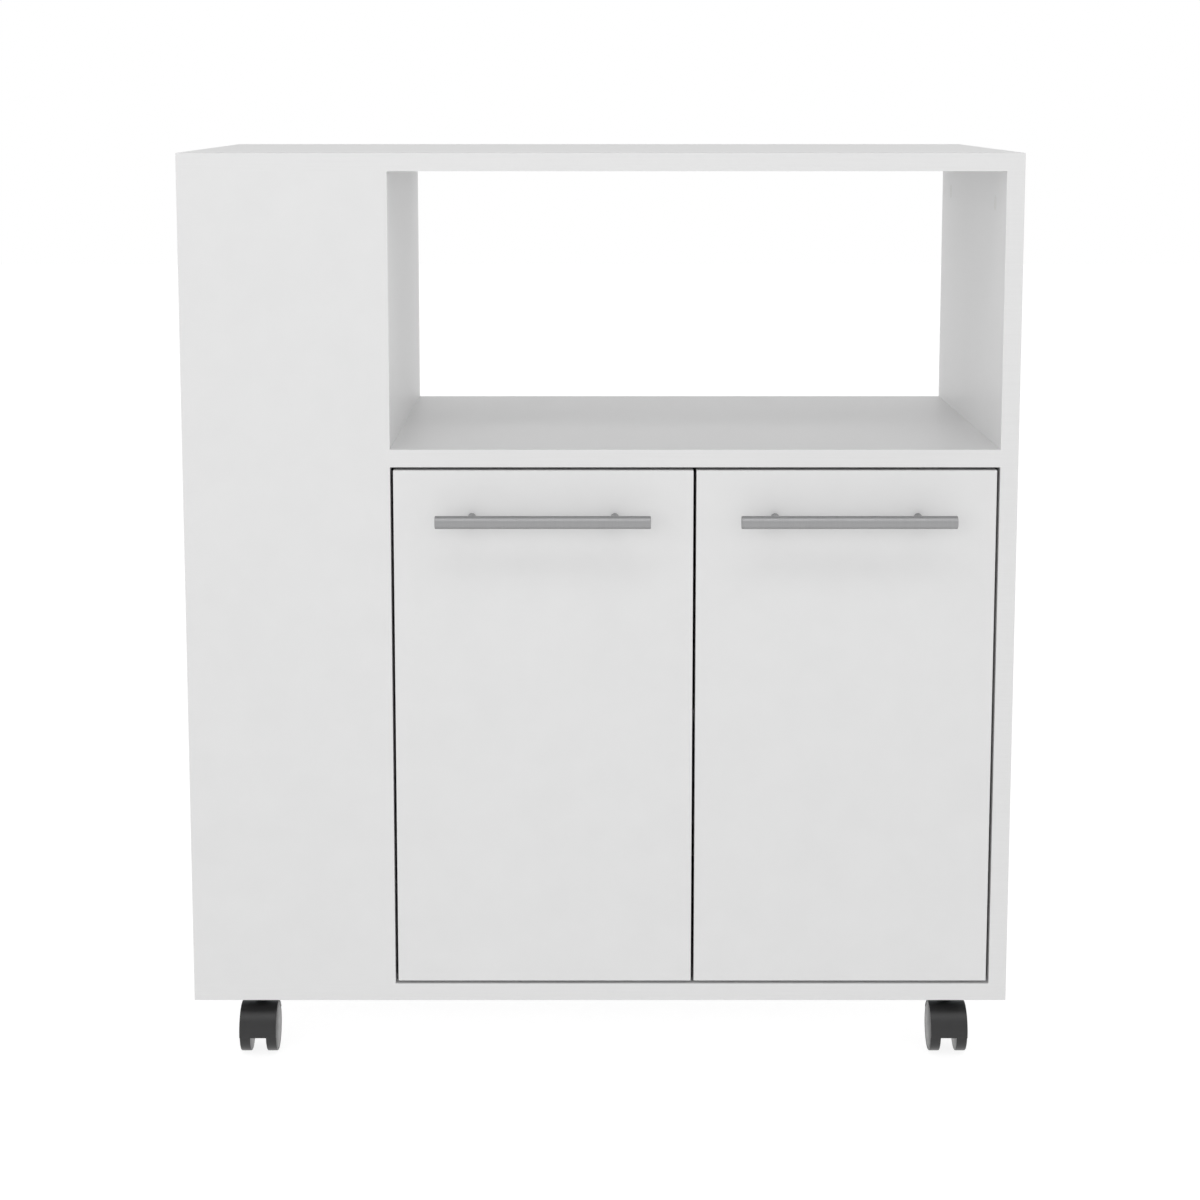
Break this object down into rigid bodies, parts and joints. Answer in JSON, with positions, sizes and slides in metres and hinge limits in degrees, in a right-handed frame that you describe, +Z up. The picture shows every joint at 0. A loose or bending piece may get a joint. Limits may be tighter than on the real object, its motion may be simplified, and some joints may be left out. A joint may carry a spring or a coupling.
{
  "type": "microwave cart",
  "caption": "White microwave cart on casters: open bay over a cupboard with inset doors and bar handles, and a side column with shelves reached from the left.",
  "frame": {"origin": "on the floor under the middle of the cart's outer box, handles included", "axes": "+X to the right seen from the front, +Y to the back, +Z up; the doors face -Y"},
  "size_m": [0.84, 0.489, 0.932],
  "materials": {
    "white_laminated_board": "white melamine on particle board, satin",
    "white_hardboard": "white lacquered hardboard, satin",
    "satin_steel": "satin brushed steel",
    "nickel_plated_steel": "pressed steel, nickel plated",
    "zinc_plated_steel": "zinc plated steel",
    "black_plastic": "moulded black nylon, satin",
    "white_plastic": "moulded white plastic",
    "beech": "fluted beech dowel"
  },
  "bodies": {
    "cabinet": {"top_panel": "white_laminated_board", "bottom_panel": "white_laminated_board", "right_side_panel": "white_laminated_board", "divider_panel": "white_laminated_board", "column_front_panel": "white_laminated_board", "column_back_panel": "white_laminated_board", "side_shelf_upper": "white_laminated_board", "side_shelf_lower": "white_laminated_board", "microwave_shelf": "white_laminated_board", "cupboard_back": "white_hardboard", "cupboard_shelf": "white_laminated_board", "shelf_pins": "zinc_plated_steel", "cam_housings": "zinc_plated_steel", "cam_bolts": "zinc_plated_steel", "cam_covers": "white_plastic", "dowels": "beech", "hinge_plates": "nickel_plated_steel", "hinge_arms": "nickel_plated_steel", "hinge_arm_pins": "zinc_plated_steel", "hinge_screws": "zinc_plated_steel", "caster_plates": "zinc_plated_steel", "caster_kingpins": "zinc_plated_steel", "caster_screws": "zinc_plated_steel"},
    "left_door": {"left_door": "white_laminated_board", "left_handle_bar": "satin_steel", "left_handle_posts": "satin_steel", "left_handle_screws": "zinc_plated_steel", "left_hinge_cups": "nickel_plated_steel", "left_cup_pins": "zinc_plated_steel", "left_cup_screws": "zinc_plated_steel"},
    "left_swing_link": {"left_swing_links": "nickel_plated_steel", "left_link_pins": "zinc_plated_steel"},
    "left_cup_link": {"left_cup_links": "nickel_plated_steel"},
    "right_door": {"right_door": "white_laminated_board", "right_handle_bar": "satin_steel", "right_handle_posts": "satin_steel", "right_handle_screws": "zinc_plated_steel", "right_hinge_cups": "nickel_plated_steel", "right_cup_pins": "zinc_plated_steel", "right_cup_screws": "zinc_plated_steel"},
    "right_swing_link": {"right_swing_links": "nickel_plated_steel", "right_link_pins": "zinc_plated_steel"},
    "right_cup_link": {"right_cup_links": "nickel_plated_steel"},
    "front_left_caster": {"front_left_hood": "black_plastic", "front_left_axle": "zinc_plated_steel"},
    "front_left_wheel_a": {"front_left_wheel_a": "black_plastic"},
    "front_left_wheel_b": {"front_left_wheel_b": "black_plastic"},
    "front_right_caster": {"front_right_hood": "black_plastic", "front_right_axle": "zinc_plated_steel"},
    "front_right_wheel_a": {"front_right_wheel_a": "black_plastic"},
    "front_right_wheel_b": {"front_right_wheel_b": "black_plastic"},
    "rear_left_caster": {"rear_left_hood": "black_plastic", "rear_left_axle": "zinc_plated_steel"},
    "rear_left_wheel_a": {"rear_left_wheel_a": "black_plastic"},
    "rear_left_wheel_b": {"rear_left_wheel_b": "black_plastic"},
    "rear_right_caster": {"rear_right_hood": "black_plastic", "rear_right_axle": "zinc_plated_steel"},
    "rear_right_wheel_a": {"rear_right_wheel_a": "black_plastic"},
    "rear_right_wheel_b": {"rear_right_wheel_b": "black_plastic"}
  },
  "joints": [
    {"name": "left_door_hinge", "type": "hinge", "parent": "cabinet", "child": "left_door", "pos_m": [-0.21, -0.2055, 0.348], "axis": [0, 0, -1], "range_deg": [0, 105]},
    {"name": "left_swing_link_pivot", "type": "hinge", "parent": "cabinet", "child": "left_swing_link", "pos_m": [-0.1895, -0.1825, 0.348], "axis": [0, 0, -1], "range_deg": [0, 105]},
    {"name": "left_cup_link_pivot", "type": "hinge", "parent": "left_swing_link", "child": "left_cup_link", "pos_m": [-0.1655, -0.1675, 0.348], "axis": [0, 0, -1], "range_deg": [-105, 0]},
    {"name": "right_door_hinge", "type": "hinge", "parent": "cabinet", "child": "right_door", "pos_m": [0.4005, -0.2055, 0.348], "axis": [0, 0, 1], "range_deg": [0, 105]},
    {"name": "right_swing_link_pivot", "type": "hinge", "parent": "cabinet", "child": "right_swing_link", "pos_m": [0.38, -0.1825, 0.348], "axis": [0, 0, 1], "range_deg": [0, 105]},
    {"name": "right_cup_link_pivot", "type": "hinge", "parent": "right_swing_link", "child": "right_cup_link", "pos_m": [0.356, -0.1675, 0.348], "axis": [0, 0, 1], "range_deg": [-105, 0]},
    {"name": "front_left_swivel", "type": "hinge", "parent": "cabinet", "child": "front_left_caster", "pos_m": [-0.3545, -0.1685, 0.045], "axis": [0, 0, 1], "continuous": true},
    {"name": "front_left_wheel_a_roll", "type": "hinge", "parent": "front_left_caster", "child": "front_left_wheel_a", "pos_m": [-0.3681, -0.1865, 0.025], "axis": [1, 0, 0], "continuous": true},
    {"name": "front_left_wheel_b_roll", "type": "hinge", "parent": "front_left_caster", "child": "front_left_wheel_b", "pos_m": [-0.3409, -0.1865, 0.025], "axis": [1, 0, 0], "continuous": true},
    {"name": "front_right_swivel", "type": "hinge", "parent": "cabinet", "child": "front_right_caster", "pos_m": [0.3615, -0.1685, 0.045], "axis": [0, 0, 1], "continuous": true},
    {"name": "front_right_wheel_a_roll", "type": "hinge", "parent": "front_right_caster", "child": "front_right_wheel_a", "pos_m": [0.3479, -0.1865, 0.025], "axis": [1, 0, 0], "continuous": true},
    {"name": "front_right_wheel_b_roll", "type": "hinge", "parent": "front_right_caster", "child": "front_right_wheel_b", "pos_m": [0.3751, -0.1865, 0.025], "axis": [1, 0, 0], "continuous": true},
    {"name": "rear_left_swivel", "type": "hinge", "parent": "cabinet", "child": "rear_left_caster", "pos_m": [-0.3545, 0.2075, 0.045], "axis": [0, 0, 1], "continuous": true},
    {"name": "rear_left_wheel_a_roll", "type": "hinge", "parent": "rear_left_caster", "child": "rear_left_wheel_a", "pos_m": [-0.3681, 0.1895, 0.025], "axis": [1, 0, 0], "continuous": true},
    {"name": "rear_left_wheel_b_roll", "type": "hinge", "parent": "rear_left_caster", "child": "rear_left_wheel_b", "pos_m": [-0.3409, 0.1895, 0.025], "axis": [1, 0, 0], "continuous": true},
    {"name": "rear_right_swivel", "type": "hinge", "parent": "cabinet", "child": "rear_right_caster", "pos_m": [0.3615, 0.2075, 0.045], "axis": [0, 0, 1], "continuous": true},
    {"name": "rear_right_wheel_a_roll", "type": "hinge", "parent": "rear_right_caster", "child": "rear_right_wheel_a", "pos_m": [0.3479, 0.1895, 0.025], "axis": [1, 0, 0], "continuous": true},
    {"name": "rear_right_wheel_b_roll", "type": "hinge", "parent": "rear_right_caster", "child": "rear_right_wheel_b", "pos_m": [0.3751, 0.1895, 0.025], "axis": [1, 0, 0], "continuous": true}
  ],
  "couplings": [
    {"joint": "left_swing_link_pivot", "follows": "left_door_hinge", "ratio": 1},
    {"joint": "left_cup_link_pivot", "follows": "left_door_hinge", "ratio": -1},
    {"joint": "right_swing_link_pivot", "follows": "right_door_hinge", "ratio": 1},
    {"joint": "right_cup_link_pivot", "follows": "right_door_hinge", "ratio": -1}
  ]
}
